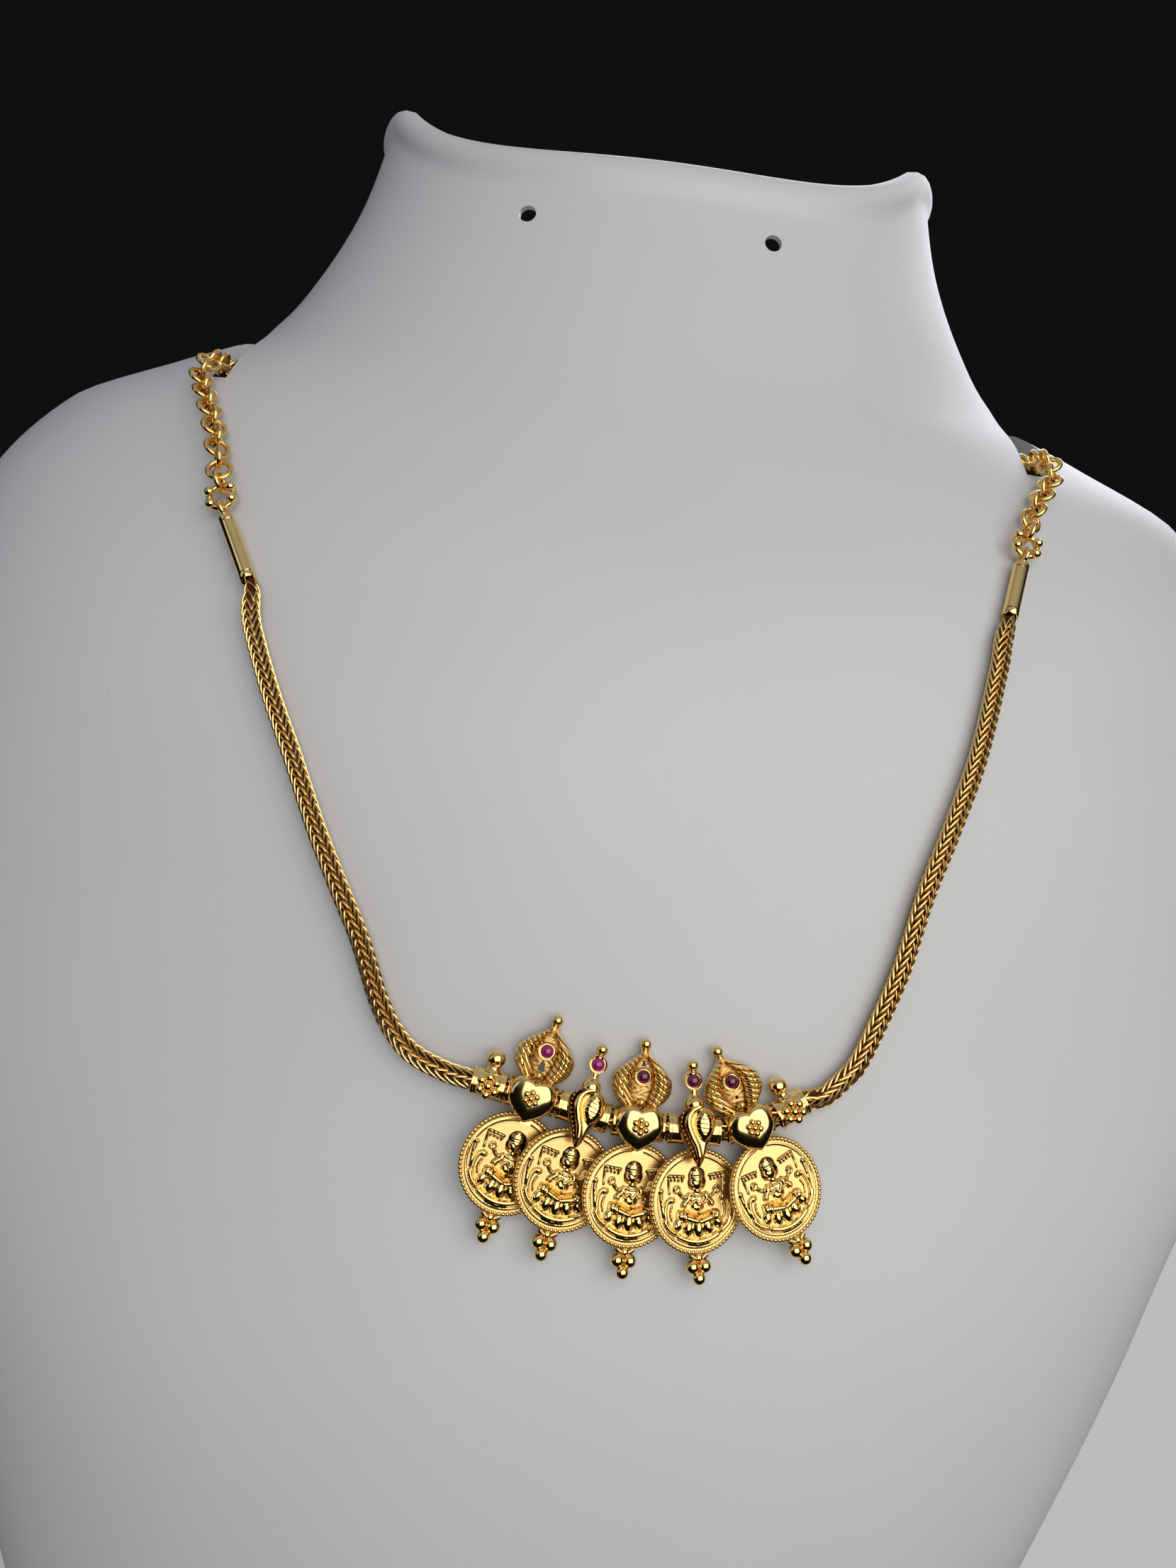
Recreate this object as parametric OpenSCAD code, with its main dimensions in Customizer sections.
// Temple jewellery necklace on a moulded neck bust.
// A loop of round links and foxtail rope carries seven tubes: two end beads and five coin charms.
// Millimetres, +Z up, the front faces -Y, the origin is the middle of the foot's underside.

/* [Bust] */
// Height of the bust, foot to horn tips
bust_h = 308; // [290:1:330]
// Width across the shoulders
bust_w = 258; // [246:1:272]
// Bulge of the front beyond the side edges
bust_bulge = 79; // [72:1:86]
// How far the side edges lean back from foot to top
bust_lean = 82; // [74:1:90]
// Thickness of the moulded wall
bust_wall = 2.5; // [2:0.1:3.2]
// Dip of the top rim below its horns
rim_dip = 17; // [10:1:22]
// Height of the rolled lip along the rim
lip_h = 6; // [4:0.5:9]
// How far the lip stands out
lip_out = 1.3; // [0.6:0.1:2]
// Diameter of the two earring holes
ear_hole_d = 3; // [2:0.1:4]
// Distance between the two earring holes
ear_hole_gap = 42.6; // [36:0.2:50]
// Drop of the earring holes below the horn tips
ear_hole_drop = 29; // [24:0.5:36]
// Distance between the two shoulder notches
notch_gap = 144; // [141:0.5:147]
// Width of a shoulder notch
notch_w = 7; // [6.6:0.1:8]
// Depth of the foot, front to back
foot_d = 100; // [90:1:115]
// Thickness of the foot
foot_t = 3; // [2:0.5:5]

/* [Chain and rope] */
// Mean radius of a link
link_r = 1.75; // [1.6:0.05:1.9]
// Radius of the links' wire
link_wire = 0.42; // [0.34:0.02:0.46]
// Mean radius of the ring between links and ferrule
end_ring_r = 2; // [1.8:0.05:2.3]
// Radius of its wire
end_ring_wire = 0.5; // [0.4:0.02:0.55]
// Mean radius of the hidden clasp's ring
clasp_r = 2.6; // [2.4:0.05:3]
// Radius of the clasp's wire
clasp_wire = 0.5; // [0.4:0.02:0.6]
// Radius of the foxtail rope
rope_r = 1.45; // [1.3:0.05:1.5]
// Outer radius of a ferrule
ferrule_r = 1.25; // [1.15:0.05:1.4]
// Wall of a ferrule
ferrule_wall = 0.25; // [0.2:0.01:0.3]
// Length of the rope's end inside its ferrule
grip = 4; // [3:0.5:6]

/* [Charms] */
// Outer radius of the strung tubes
tube_r = 1.95; // [1.9:0.01:2.1]
// Wall of the strung tubes
tube_wall = 0.3; // [0.25:0.01:0.3]
// Radius of a coin
coin_r = 6.9; // [6.5:0.05:7.1]
// Thickness of a coin's disc
coin_t = 0.6; // [0.5:0.02:0.7]
// Radius of the coin's beaded rim
rim_r = 0.42; // [0.36:0.02:0.46]
// Drop of a coin's centre below its tube
coin_drop = 9.2; // [9:0.05:9.5]
// Turn of a coin about its upright axis, left edge forward
coin_twist = 13; // [12:0.5:14]
// Lean of a charm off the bust, below its tube
charm_lean = 3.5; // [3:0.5:5]
// Width of a heart shield
heart_w = 6.5; // [6:0.1:7]
// Height of a heart shield
heart_h = 6.2; // [5.8:0.1:6.6]
// Width of a flame crest
crest_w = 8.2; // [7.6:0.1:8.6]
// Height of a flame crest above its tube
crest_h = 7.9; // [7.4:0.1:8.4]
// Thickness of a flame crest
crest_t = 1.6; // [1.3:0.05:1.9]
// Width of a conch shield
conch_w = 5.2; // [4.8:0.1:5.6]
// Height of a conch shield
conch_h = 7.9; // [7.4:0.1:8.2]
// Radius of a ruby
ruby_r = 0.9; // [0.8:0.02:1]
// Wall of a ruby's bezel
bezel_wall = 0.22; // [0.18:0.01:0.3]
// Radius of the balls below a coin
drop_ball_r = 0.92; // [0.9:0.01:0.98]

/* [Clearances] */
// Air between what lies on the bust and its skin
rest_gap = 0.35; // [0.3:0.05:0.5]
// Air between pieces of metal that are not soldered
piece_gap = 0.14; // [0.1:0.01:0.16]

/* [Hidden] */

GOLD = "#e0b03c";
ROPE_GOLD = "#b98a35";
WHITE = "#dfe3ea";
RUBY = "#8e1546";
round_fn = 48;
small_fn = 24;
// Steps of the faceted shapes: columns round the bust, sides of the rope, steps between route points
bust_columns = 32;
rope_sides = 8;
route_steps = 3;
// Half width of the difference that gives the skin's slope
slope_step = 0.5;

// Sections of the bust. Columns: height as a share of bust_h, half width of bust_w / 2,
// bulge of bust_bulge, side edge of bust_lean.
BUST_SECTIONS = [
    [0.00, 0.64, 0.785, 0.00],
    [0.20, 0.78, 0.90, 0.085],
    [0.36, 0.90, 1.00, 0.205],
    [0.50, 1.00, 0.925, 0.33],
    [0.63, 0.985, 0.875, 0.44],
    [0.72, 0.94, 0.785, 0.535],
    [0.78, 0.84, 0.71, 0.635],
    [0.81, 0.69, 0.68, 0.695],
    [0.83, 0.58, 0.66, 0.73],
    [0.87, 0.51, 0.63, 0.80],
    [0.93, 0.455, 0.58, 0.90],
    [1.00, 0.425, 0.545, 1.00]
];
// The rows of the shell's mesh as spans of height: from, to, rows
BUST_ROWS = [[0, 0.68, 10], [0.68, 0.90, 13], [0.90, 1, 5]];
side_foot_y = 12;
foot_back_share = 0.8;
horn_start = 0.9;
horn_drop = 6;
notch_floor = 0.797 * bust_h;
notch_x = notch_gap / 2;

// Routes on the bust. Columns: x, drop below the notch's floor.
// The rope's free stretches run from the ferrule's lower end to the end bead.
ROPE_LEFT = [
    [-50.2, 37], [-45.7, 45.2], [-40.8, 53.2], [-36, 61.8], [-32, 68.4], [-27.8, 75.2],
    [-24.2, 82.4], [-21.6, 86.2], [-18.6, 88.8], [-14.2, 90.5]
];
ROPE_RIGHT = [
    [60, 27], [59.2, 31.2], [56.4, 42.8], [53, 52.8], [49.8, 62], [47.6, 71],
    [45.6, 77], [42.8, 84], [40.9, 86.6], [38.3, 89]
];
// The ferrules, from the links' side to the rope's side
FERRULE_LEFT = [[-58.1, 23], [-52.2, 31.2]];
FERRULE_RIGHT = [[63.4, 16], [61, 23.6]];
// The links, from the ring to the notch
LINKS_LEFT = [[-60.4, 18], [-63.8, 11.2], [-67, 6.6], [-70.6, 2.4]];
LINKS_RIGHT = [[65, 10], [67.4, 6], [70.6, 2.4]];
// Links through the notch and behind the neck. Columns: |x| inside notch_x, y behind the shell's
// side edge at the notch, height above the notch's seat.
LINKS_BACK = [
    [0.5, -39.2, -0.2], [0.5, -34, 0.2], [0.3, -26, 0], [0, -14, 0], [0, -3, 0], [2.6, 4.4, -0.2], [12, 9, -1],
    [32, 11, -2.4], [72, 12, -3.6]
];

// The strung tubes, left to right. Columns: kind, length, slope in degrees, skew of its body.
STRUNG = [
    ["end", 4.7, -7, 0],
    ["heart", 7.0, -8, -4],
    ["conch", 7.4, -10.5, 0],
    ["heart", 7.5, -3, 2],
    ["conch", 7.7, 1, 5],
    ["heart", 7.2, 17, 10],
    ["end", 4.7, 31, 0]
];
STRUNG_START = [-9.8, 91.2];

// Outline of the flame crest. Columns: share of its height, share of its half width.
FLAME = [
    [0, 0.34], [0.1, 0.64], [0.22, 0.87], [0.36, 0.99], [0.48, 1], [0.6, 0.9], [0.72, 0.7], [0.84, 0.42],
    [0.94, 0.18], [1, 0.07]
];
// Outline of the conch. Columns: share of its height, left and right share of its width.
CONCH = [
    [0, -0.02, 0.06], [0.08, -0.1, 0.14], [0.2, -0.17, 0.2], [0.34, -0.28, 0.27], [0.48, -0.4, 0.38],
    [0.62, -0.48, 0.48], [0.76, -0.48, 0.5], [0.88, -0.36, 0.42], [0.96, -0.17, 0.25], [1, 0.02, 0.1]
];

bore_r = tube_r - tube_wall;
rope_lift = rope_r + rest_gap;
tube_lift = tube_r + rest_gap;
link_lift = link_r + link_wire + rest_gap;
link_pitch = 2 * (link_r - link_wire) - piece_gap;
ring_to_link = end_ring_r + link_r - end_ring_wire - link_wire - piece_gap;
clasp_to_link = clasp_r + link_r - clasp_wire - link_wire - piece_gap;
eye_r = 1.25;
eye_wire = 0.38;
ring_to_eye = end_ring_r + eye_r - end_ring_wire - eye_wire - piece_gap;
shield_back = bore_r + 0.1;
shield_front = tube_r + 1.55;
coin_y = 0.1;
crest_foot = bore_r + 0.1;
bezel_r = ruby_r + piece_gap + bezel_wall;
bezel_h = 1.9;
pocket_depth = 0.8;
heart_ruby_z = 6.3;
conch_ruby_z = 6.5;
ball_flower_r = 0.38;

// Small vector and table helpers

function unit(v) = v / norm(v);
function total(list, i = 0) = i >= len(list) ? 0 : list[i] + total(list, i + 1);
function running(list, i = 0, sum = 0) =
    i >= len(list) ? [sum] : concat([sum], running(list, i + 1, sum + list[i]));

// Smooth curve through a table's column: slope at a row, then the value at a share of the height
function row_slope(rows, c, i) =
    let (n = len(rows) - 1, a = max(0, i - 1), b = min(n, i + 1))
    let (h0 = rows[i][0] - rows[a][0], h1 = rows[b][0] - rows[i][0])
    let (d0 = i == 0 ? 0 : (rows[i][c] - rows[a][c]) / h0, d1 = i == n ? 0 : (rows[b][c] - rows[i][c]) / h1)
    i == 0 ? d1 : i == n ? d0 : d0 * d1 <= 0 ? 0
    : 3 * (h0 + h1) / ((2 * h1 + h0) / d0 + (h1 + 2 * h0) / d1);
BUST_SLOPES = [for (c = [0:3]) [for (i = [0:len(BUST_SECTIONS) - 1]) c == 0 ? 0 : row_slope(BUST_SECTIONS, c, i)]];
function bust_share(h, c) =
    let (rows = BUST_SECTIONS, t = min(1, max(0, h)))
    let (i = min(len(rows) - 2, total([for (j = [1:len(rows) - 1]) rows[j][0] <= t ? 1 : 0])))
    let (w = rows[i + 1][0] - rows[i][0], u = (t - rows[i][0]) / w)
    (2 * u * u * u - 3 * u * u + 1) * rows[i][c] + (u * u * u - 2 * u * u + u) * w * BUST_SLOPES[c][i]
    + (3 * u * u - 2 * u * u * u) * rows[i + 1][c] + (u * u * u - u * u) * w * BUST_SLOPES[c][i + 1];

// The bust's skin

function half_w(z) = bust_w / 2 * bust_share(z / bust_h, 1);
function bulge(z) = bust_bulge * bust_share(z / bust_h, 2);
function side_y(z) = side_foot_y + bust_lean * bust_share(z / bust_h, 3);
function front_y(x, z) = side_y(z) - bulge(z) * sqrt(max(0, 1 - pow(x / half_w(z), 2)));
function outward(x, z) =
    let (dx = (front_y(x + slope_step, z) - front_y(x - slope_step, z)) / (2 * slope_step))
    let (dz = (front_y(x, z + slope_step) - front_y(x, z - slope_step)) / (2 * slope_step))
    unit([dx, -1, dz]);
// A route point, [x, drop], lifted off the skin
function above(p, lift) =
    let (z = notch_floor - p[1])
    [p[0], front_y(p[0], z), z] + lift * outward(p[0], z);

// A smooth curve through points, and stations along it

function curve_point(a, b, c, d, t) =
    0.5 * ((2 * b) + (c - a) * t + (2 * a - 5 * b + 4 * c - d) * t * t + (3 * b - a - 3 * c + d) * t * t * t);
function curve(pts, steps) =
    let (n = len(pts) - 1)
    concat([for (i = [0:n - 1]) for (s = [0:steps - 1])
        curve_point(pts[max(0, i - 1)], pts[i], pts[i + 1], pts[min(n, i + 2)], s / steps)], [pts[n]]);
function lengths(pts) = running([for (i = [0:len(pts) - 2]) norm(pts[i + 1] - pts[i])]);
function station(pts, run, s) =
    [for (k = [0:2]) lookup(s, [for (i = [0:len(pts) - 1]) [run[i], pts[i][k]]])];

// A frame at a point: local x along ex, local -y outward, local z up the bust
function frame(o, ex, out) =
    let (x = unit(ex), z = unit(cross(x, -out)), y = cross(z, x))
    [[x[0], y[0], z[0], o[0]], [x[1], y[1], z[1], o[1]], [x[2], y[2], z[2], o[2]], [0, 0, 0, 1]];

// A tube through points with a radius at each

module sweep(pts, radii, sides) {
    n = len(pts);
    rings = [for (i = [0:n - 1])
        let (t = unit(pts[min(n - 1, i + 1)] - pts[max(0, i - 1)]))
        let (u = unit(cross(t, [0, 1, 0])), v = cross(u, t))
        for (k = [0:sides - 1])
            pts[i] + radii[i] * (cos(360 * (k + 0.5) / sides) * u + sin(360 * (k + 0.5) / sides) * v)];
    walls = [for (i = [0:n - 2]) for (k = [0:sides - 1])
        let (a = i * sides + k, b = i * sides + (k + 1) % sides)
        [a, b, b + sides, a + sides]];
    polyhedron(rings, concat([[for (k = [0:sides - 1]) sides - 1 - k]], walls,
        [[for (k = [0:sides - 1]) (n - 1) * sides + k]]));
}

module ring(r, wire) {
    rotate([90, 0, 0]) rotate_extrude($fn = round_fn) translate([r, 0]) circle(r = wire, $fn = small_fn);
}

module ball(p, r) {
    translate(p) sphere(r = r, $fn = small_fn);
}

// The plate of a 2D outline drawn as x, z that spans y from -front to -back
module plate(back, front) {
    translate([0, -back, 0]) rotate([90, 0, 0]) linear_extrude(front - back) children();
}

// The bust

bust_heights = concat([for (span = BUST_ROWS) for (j = [0:span[2] - 1])
    span[0] + (span[1] - span[0]) * j / span[2]], [1]);
function rim_top(s) =
    bust_h - rim_dip * (1 - pow(s, 4)) - horn_drop * pow(max(0, (s - horn_start) / (1 - horn_start)), 2);
function lip(drop) = drop >= lip_h ? 0 : lip_out * sin(180 * min(1, 0.15 + 0.85 * drop / lip_h));
function shell_point(h, a, inset) =
    let (s = abs(sin(a)), top = rim_top(s), z = h * top, out = lip(top - z))
    let (w = half_w(z), b = bulge(z), y = side_y(z))
    let (dw = (half_w(z + slope_step) - half_w(z - slope_step)) / (2 * slope_step))
    let (tilt = max(0.35, 1 / sqrt(1 + dw * dw)), t = inset > 0 ? inset / tilt : -out)
    [(w - t) * sin(a), y - (b - t) * cos(a), z];

module neck_bust() {
    n = bust_columns + 1;
    rows = len(bust_heights);
    angles = [for (i = [0:bust_columns]) -90 + 180 * i / bust_columns];
    points = concat(
        [for (h = bust_heights) for (a = angles) shell_point(h, a, 0)],
        [for (h = bust_heights) for (a = angles) shell_point(h, a, bust_wall)]);
    in = rows * n;
    faces = concat(
        [for (j = [0:rows - 2]) for (i = [0:n - 2]) let (a = j * n + i) each
            [[a, a + n, a + n + 1], [a, a + n + 1, a + 1],
             [in + a, in + a + n + 1, in + a + n], [in + a, in + a + 1, in + a + n + 1]]],
        [for (i = [0:n - 2]) let (a = i, b = (rows - 1) * n + i) each
            [[a, a + 1, in + a + 1], [a, in + a + 1, in + a],
             [b, in + b + 1, b + 1], [b, in + b, in + b + 1]]],
        [for (j = [0:rows - 2]) let (a = j * n, b = j * n + n - 1) each
            [[a, in + a, in + a + n], [a, in + a + n, a + n],
             [b, b + n, in + b + n], [b, in + b + n, in + b]]]);
    w = half_w(0) - bust_wall / 2;
    b = bulge(0) - bust_wall / 2;
    back_y = side_foot_y - bulge(0) + foot_d;
    color(WHITE) difference() {
        union() {
            polyhedron(points, faces);
            linear_extrude(foot_t) polygon(concat(
                [for (a = angles) [w * sin(a), side_foot_y - b * cos(a)]],
                [[w * foot_back_share, back_y], [-w * foot_back_share, back_y]]));
        }
        for (s = [-1, 1]) {
            z = bust_h - ear_hole_drop;
            translate([s * ear_hole_gap / 2, front_y(ear_hole_gap / 2, z) - 10, z])
                rotate([-90, 0, 0]) cylinder(d = ear_hole_d, h = 20, $fn = small_fn);
            translate([s * notch_x - notch_w / 2, side_y(notch_floor) - 60, notch_floor])
                cube([notch_w, 80, 40]);
        }
    }
}

// The chain's route and its links

function on_bust(list, lift) = [for (p = list) above(p, lift)];
function back_points(side) = [for (p = LINKS_BACK)
    [side * (notch_x - p[0]), side_y(notch_floor) + p[1], notch_floor + link_lift + p[2]]];
function ferrule_ends(side) = on_bust(side < 0 ? FERRULE_LEFT : FERRULE_RIGHT, rope_lift);
// The eye stands off the ferrule's upper end, and the ring hangs in it
function eye_at(side) =
    let (f = ferrule_ends(side))
    f[0] + unit(f[0] - f[1]) * (eye_r + eye_wire + 0.2);
function ring_at(side) =
    let (f = ferrule_ends(side), first = above((side < 0 ? LINKS_LEFT : LINKS_RIGHT)[0], link_lift))
    eye_at(side) + unit(first - eye_at(side)) * ring_to_eye;
function chain_curve(side) = curve(concat(
    [ring_at(side)], on_bust(side < 0 ? LINKS_LEFT : LINKS_RIGHT, link_lift), back_points(side)), 8);
function out_at(p) = p[1] > side_y(notch_floor) - 30 ? [0, 0, 1] : outward(p[0], p[2]);

module chain(side) {
    pts = chain_curve(side);
    run = lengths(pts);
    span = run[len(run) - 1] - ring_to_link - clasp_to_link;
    n = ceil(span / link_pitch);
    pitch = span / n;
    last_roll = 45 * side;
    first_turn = n % 2 == 0 ? last_roll : -last_roll;
    color(GOLD) for (i = [0:n]) {
        s = ring_to_link + i * pitch;
        p = station(pts, run, s);
        d = station(pts, run, s + pitch / 2) - station(pts, run, s - pitch / 2);
        multmatrix(frame(p, d, out_at(p)))
            rotate([last_roll + 90 * (n - i) + first_turn * max(0, 1 - i / 3), 0, 0]) ring(link_r, link_wire);
    }
}

module clasp() {
    last = back_points(1)[len(LINKS_BACK) - 1];
    color(GOLD) translate(last) rotate([-45, 0, 0]) {
        ring(clasp_r, clasp_wire);
        translate([0, 0, clasp_r]) rotate([0, 90, 0])
            cylinder(r = clasp_wire * 1.7, h = clasp_wire * 4, center = true, $fn = small_fn);
    }
}

module end_ring(side) {
    p = ring_at(side);
    d = p - eye_at(side);
    color(GOLD) multmatrix(frame(p, d, outward(p[0], p[2]))) {
        ring(end_ring_r, end_ring_wire);
        for (a = [58, 122, 238, 302])
            ball([end_ring_r * cos(a), -end_ring_wire, end_ring_r * sin(a)], end_ring_wire * 1.6);
    }
}

module ferrule(side) {
    f = ferrule_ends(side);
    eye = eye_at(side);
    l = norm(f[1] - f[0]);
    cap = 0.6;
    color(GOLD) multmatrix(frame(f[0], f[1] - f[0], outward(f[0][0], f[0][2]))) {
        rotate([0, 90, 0]) difference() {
            cylinder(r = ferrule_r, h = l, $fn = round_fn);
            translate([0, 0, cap]) cylinder(r = ferrule_r - ferrule_wall, h = l, $fn = round_fn);
        }
        translate([-norm(eye - f[0]), 0, 0]) rotate([90, 0, 0]) ring(eye_r, eye_wire);
        rotate([0, -90, 0]) cylinder(r1 = ferrule_r, r2 = eye_wire, h = eye_wire + 0.3, $fn = round_fn);
    }
}

// The strung tubes: their corner points on the bust, then a frame for each

strung_run = [for (i = [0:len(STRUNG)]) i == 0 ? STRUNG_START : STRUNG_START
    + [total([for (j = [0:i - 1]) STRUNG[j][1] * cos(STRUNG[j][2])]),
       -total([for (j = [0:i - 1]) STRUNG[j][1] * sin(STRUNG[j][2])])]];
strung_pts = [for (p = strung_run) above(p, tube_lift)];
function strung_frame(i) =
    let (mid = (strung_run[i] + strung_run[i + 1]) / 2, along = strung_pts[i + 1] - strung_pts[i])
    let (out = outward(mid[0], notch_floor - mid[1]))
    frame((strung_pts[i] + strung_pts[i + 1]) / 2, along,
        out * cos(charm_lean) + unit(cross(out, along)) * sin(charm_lean));
// What a tube gives up at one end, so that it clears its neighbour where the row bends
function bend_gap(i) =
    i <= 0 || i >= len(STRUNG) ? 0
    : tube_r * tan(abs(STRUNG[i][2] - STRUNG[i - 1][2]) / 2 + 1) + piece_gap / 2;

middle_tube = 3;
middle = (strung_pts[middle_tube] + strung_pts[middle_tube + 1]) / 2;

module braid(side) {
    f = ferrule_ends(side);
    axis = unit(f[1] - f[0]);
    free = on_bust(side < 0 ? ROPE_LEFT : ROPE_RIGHT, rope_lift);
    strung = side < 0 ? [for (i = [0:middle_tube]) strung_pts[i]]
        : [for (i = [len(STRUNG):-1:middle_tube + 1]) strung_pts[i]];
    start = [f[1] - axis * grip, f[1] - axis * grip / 2, f[1], f[1] + axis * 1.2];
    loose = curve(concat([f[1] + axis * 1.2], free, [strung[0]]), route_steps);
    pts = concat([start[0], start[1], start[2]], [for (i = [0:len(loose) - 2]) loose[i]], strung, [middle]);
    held = ferrule_r - ferrule_wall - piece_gap;
    radii = [for (i = [0:len(pts) - 1]) i < 3 ? held : i == 3 ? (held + rope_r) / 2 : rope_r];
    color(ROPE_GOLD) sweep(pts, radii, rope_sides);
}

// A tube with what is soldered to it, bored last. The body may stand askew on its tube.
module strung_piece(i) {
    l0 = STRUNG[i][1] / 2 - bend_gap(i);
    l1 = STRUNG[i][1] / 2 - bend_gap(i + 1);
    multmatrix(strung_frame(i)) difference() {
        union() {
            translate([-l0, 0, 0]) rotate([0, 90, 0]) cylinder(r = tube_r, h = l0 + l1, $fn = round_fn);
            rotate([0, STRUNG[i][3] * -1, 0]) children();
        }
        translate([-l0 - 1, 0, 0]) rotate([0, 90, 0]) cylinder(r = bore_r, h = l0 + l1 + 2, $fn = round_fn);
    }
}

// A flower of six balls round a seventh, facing out at depth y
module ball_flower(y, r, spread) {
    for (a = [30:60:330]) ball([spread * cos(a), y, spread * sin(a)], r);
    ball([0, y, 0], r);
}

module end_bead(i) {
    petal = tube_r * 0.28;
    stem_ball = 1.3;
    color(GOLD) strung_piece(i) {
        plate(shield_back, tube_r + 0.35) circle(r = 1.45, $fn = small_fn);
        ball_flower(-tube_r - 0.4, petal, petal * 2.25);
        translate([0, 0, bore_r + 0.1]) cylinder(r = 0.5, h = 1, $fn = small_fn);
        ball([0, 0, tube_r + stem_ball + 0.25], stem_ball);
    }
}

// The coin with its figure, in the charm's frame before the coin's own turn

module arc_wire(c, r, from, to, wire) {
    translate([c[0], 0, c[1]]) rotate([90, 0, 0]) rotate([0, 0, from])
        rotate_extrude(angle = to - from, $fn = round_fn) translate([r, 0]) circle(r = wire, $fn = small_fn);
}

// A seated figure on a lotus between scrolls. Lengths are shares of the coin's radius.
module figure() {
    u = coin_r;
    f = -coin_t / 2;
    ball([0, f, 0.37 * u], 0.14 * u);
    translate([0, f, 0.46 * u]) cylinder(r1 = 0.11 * u, r2 = 0.06 * u, h = 0.17 * u, $fn = small_fn);
    ball([0, f + 0.1 * u, 0.03 * u], 0.17 * u);
    translate([0, f + 0.01 * u, 0.13 * u]) rotate([0, 90, 0])
        cylinder(r = 0.06 * u, h = 0.42 * u, center = true, $fn = small_fn);
    translate([0, f + 0.02 * u, -0.28 * u]) rotate([0, 90, 0])
        cylinder(r = 0.085 * u, h = 0.66 * u, center = true, $fn = small_fn);
    for (s = [-1, 1]) {
        ball([s * 0.33 * u, f + 0.03 * u, -0.28 * u], 0.11 * u);
        ball([s * 0.43 * u, f, 0.24 * u], 0.07 * u);
        translate([s * 0.3 * u, f + 0.01 * u, 0.12 * u]) rotate([0, s * 50, 0])
            cylinder(r = 0.045 * u, h = 0.3 * u, center = true, $fn = small_fn);
        ball([s * 0.55 * u, f, 0.05 * u], 0.06 * u);
        arc_wire([s * 0.35 * u, -0.24 * u], 0.36 * u, s < 0 ? 110 : -60, s < 0 ? 240 : 70, 0.04 * u);
        ball([s * 0.76 * u, f, 0.2 * u], 0.055 * u);
        arc_wire([s * 0.1 * u, 0], 0.68 * u, s < 0 ? 165 : -42, s < 0 ? 222 : 15, 0.032 * u);
        for (k = [0:3]) translate([s * (0.3 + 0.09 * k) * u - 0.02 * u, f - 0.035 * u, 0.42 * u])
            cube([0.04 * u, 0.08 * u, 0.11 * u]);
    }
    for (k = [-2:2]) ball([k * 0.155 * u, f + 0.045 * u, -0.5 * u + abs(k) * 0.02 * u], 0.11 * u);
    arc_wire([0, 0], 0.7 * u, 242, 298, 0.05 * u);
}

module coin() {
    rotate([90, 0, 0]) cylinder(r = coin_r - rim_r, h = coin_t, center = true, $fn = round_fn);
    ring(coin_r - rim_r, rim_r);
    translate([0, -coin_t / 2, 0]) ring(coin_r * 0.86, coin_r * 0.018);
    figure();
    row = coin_r + drop_ball_r * 1.6;
    ball([0, 0, -coin_r - drop_ball_r * 0.38], drop_ball_r * 0.85);
    for (s = [-1, 1]) ball([s * drop_ball_r * 0.95, 0, -row], drop_ball_r);
    ball([0, 0, -row - drop_ball_r * 1.6], drop_ball_r);
}

module hung_coin() {
    translate([-1.1, -0.3, -coin_drop + coin_r - 1.5]) cube([2.2, 1.2, coin_drop - coin_r + 1.5 - bore_r]);
    translate([0, coin_y, -coin_drop]) rotate([0, 0, coin_twist]) coin();
}

// A domed shield: an outline cut from a sphere that stands out to shield_front
module dome(half) {
    rise = shield_front - shield_back;
    r = (half * half + rise * rise) / (2 * rise) * 1.02;
    intersection() {
        plate(shield_back - 0.3, shield_front + 1) children();
        translate([0, r - shield_front, 0]) sphere(r = r, $fn = round_fn);
    }
}

module bezel(z) {
    translate([0, bezel_h * -0.8, z]) rotate([-90, 0, 0]) cylinder(r = bezel_r, h = bezel_h, $fn = small_fn);
}

module bezel_pocket(z) {
    translate([0, bezel_h * -0.8 - 1, z]) rotate([-90, 0, 0])
        cylinder(r = ruby_r + piece_gap, h = pocket_depth + 1, $fn = small_fn);
}

module finial(z, r) {
    translate([0, 0, z - r * 1.6]) cylinder(r1 = r * 0.75, r2 = r * 0.5, h = r * 1.6, $fn = small_fn);
    ball([0, 0, z], r);
}

function heart_point(t) =
    [heart_w / 2 * sin(t) * (1 + 0.08 * cos(2 * t)) / 1.02,
     heart_h / 23.8 * (12 * cos(t) - 3.2 * cos(2 * t) - 1.6 * cos(3 * t) - 0.6 * cos(4 * t)) + heart_h * 0.06];

module flame(grow) {
    w = crest_w / 2;
    polygon(concat(
        [for (p = FLAME) [w * p[1] * grow, crest_foot + crest_h * (0.5 + (p[0] - 0.5) * grow)]],
        [for (i = [len(FLAME) - 1:-1:0]) [-w * FLAME[i][1] * grow,
            crest_foot + crest_h * (0.5 + (FLAME[i][0] - 0.5) * grow)]]));
}

function flame_w(h) = crest_w / 2 * lookup(h, FLAME);

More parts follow.
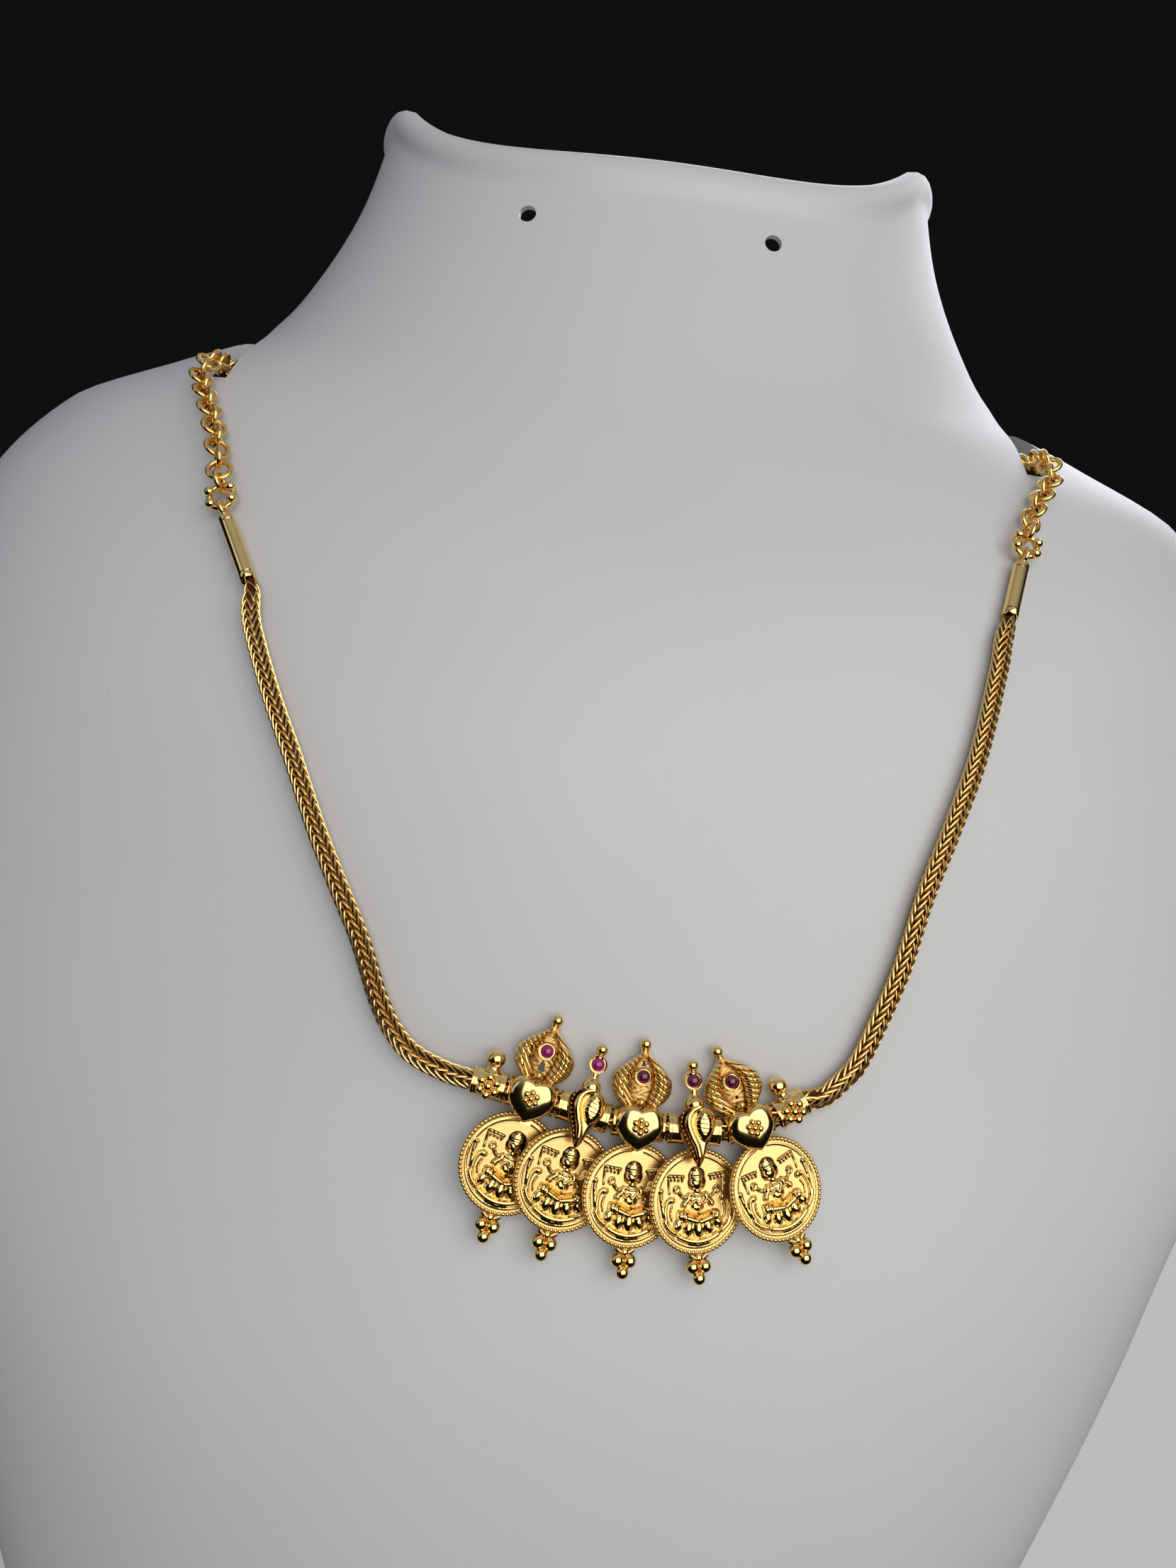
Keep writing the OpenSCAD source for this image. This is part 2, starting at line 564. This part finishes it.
module crest() {
    difference() {
        plate(-crest_t / 2, crest_t / 2) flame(1);
        plate(crest_t / 2 - 0.7, crest_t) flame(0.55);
        plate(-crest_t, crest_t) translate([0, crest_foot + crest_h * 0.36]) circle(r = 0.85, $fn = small_fn);
        plate(-crest_t, crest_t) translate([0, crest_foot + crest_h * 0.8]) circle(r = 0.42, $fn = small_fn);
    }
    for (s = [-1, 1]) for (k = [0:7]) {
        h = 0.13 + 0.1 * k;
        w = flame_w(h);
        translate([s * w * 0.72, -crest_t / 2, crest_foot + crest_h * h]) rotate([0, 3 * k - 50, 0])
            cylinder(r = 0.33, h = w * 0.62, center = true, $fn = small_fn);
    }
    ball([0, -crest_t / 2, crest_foot + crest_h * 0.14], 0.5);
    finial(crest_foot + crest_h + 1, 0.8);
}

module heart_charm(i) {
    color(GOLD) difference() {
        strung_piece(i) {
            hung_coin();
            dome(heart_w * 0.62) polygon([for (t = [0:10:350]) heart_point(t)]);
            ball_flower(-shield_front + 0.05, ball_flower_r, ball_flower_r * 2.2);
            crest();
            bezel(heart_ruby_z);
        }
        multmatrix(strung_frame(i)) rotate([0, STRUNG[i][3] * -1, 0]) bezel_pocket(heart_ruby_z);
    }
}

function conch_side(c) = [for (p = CONCH) [conch_w * p[c], conch_h * (p[0] - 0.57)]];
module conch_outline() {
    right = conch_side(2);
    polygon(concat(conch_side(1), [for (i = [len(right) - 1:-1:0]) right[i]]));
}

module conch() {
    dome(conch_h * 0.55) conch_outline();
    for (a = [150:10:210]) {
        c = [conch_w * 0.75 + conch_w * cos(a), conch_h * 0.03 + conch_w * sin(a)];
        ball([c[0], -shield_front + 0.52, c[1]], 0.24);
    }
    intersection() {
        plate(shield_back, shield_front + 0.5)
            translate([conch_w * 0.17, conch_h * 0.12]) intersection() {
                translate([conch_w * 0.25, 0]) circle(r = conch_w * 0.48, $fn = round_fn);
                translate([-conch_w * 0.22, 0]) circle(r = conch_w * 0.48, $fn = round_fn);
            }
        translate([conch_w * 0.17, -shield_front + 1.9, conch_h * 0.12]) sphere(r = 2.15, $fn = round_fn);
    }
}

module conch_charm(i) {
    collar_z = conch_h * 0.43 + 0.45;
    color(GOLD) difference() {
        strung_piece(i) {
            hung_coin();
            conch();
            translate([0, -0.9, 0.5]) cylinder(r = 0.9, h = collar_z, $fn = small_fn);
            ball([0, -0.9, collar_z + 0.5], 1.15);
            translate([0, -0.9, collar_z]) cylinder(r = 0.62, h = 1.6, $fn = small_fn);
            bezel(conch_ruby_z);
            translate([0, -0.8, 0]) finial(conch_ruby_z + bezel_r + 0.75, 0.78);
        }
        multmatrix(strung_frame(i)) rotate([0, STRUNG[i][3] * -1, 0]) bezel_pocket(conch_ruby_z);
    }
}

// The cabochon lies in its bezel with a small gap all round
module ruby(i) {
    z = STRUNG[i][0] == "heart" ? heart_ruby_z : conch_ruby_z;
    cap_r = ruby_r * 1.15;
    color(RUBY) multmatrix(strung_frame(i)) rotate([0, STRUNG[i][3] * -1, 0])
        translate([0, bezel_h * -0.8 + pocket_depth - piece_gap, z]) rotate([90, 0, 0]) intersection() {
            cylinder(r = ruby_r, h = ruby_r * 1.6, $fn = small_fn);
            translate([0, 0, ruby_r * 1.25 - cap_r]) sphere(r = cap_r, $fn = small_fn);
        }
}

neck_bust();
chain(-1);  // chain_left
chain(1);  // chain_right
clasp();
end_ring(-1);  // end_ring_left
end_ring(1);  // end_ring_right
ferrule(-1);  // ferrule_left
ferrule(1);  // ferrule_right
braid(-1);  // braid_left
braid(1);  // braid_right
end_bead(0);  // end_bead_left
heart_charm(1);  // heart_charm_1
conch_charm(2);  // conch_charm_2
heart_charm(3);  // heart_charm_3
conch_charm(4);  // conch_charm_4
heart_charm(5);  // heart_charm_5
end_bead(6);  // end_bead_right
for (i = [1:5]) ruby(i);
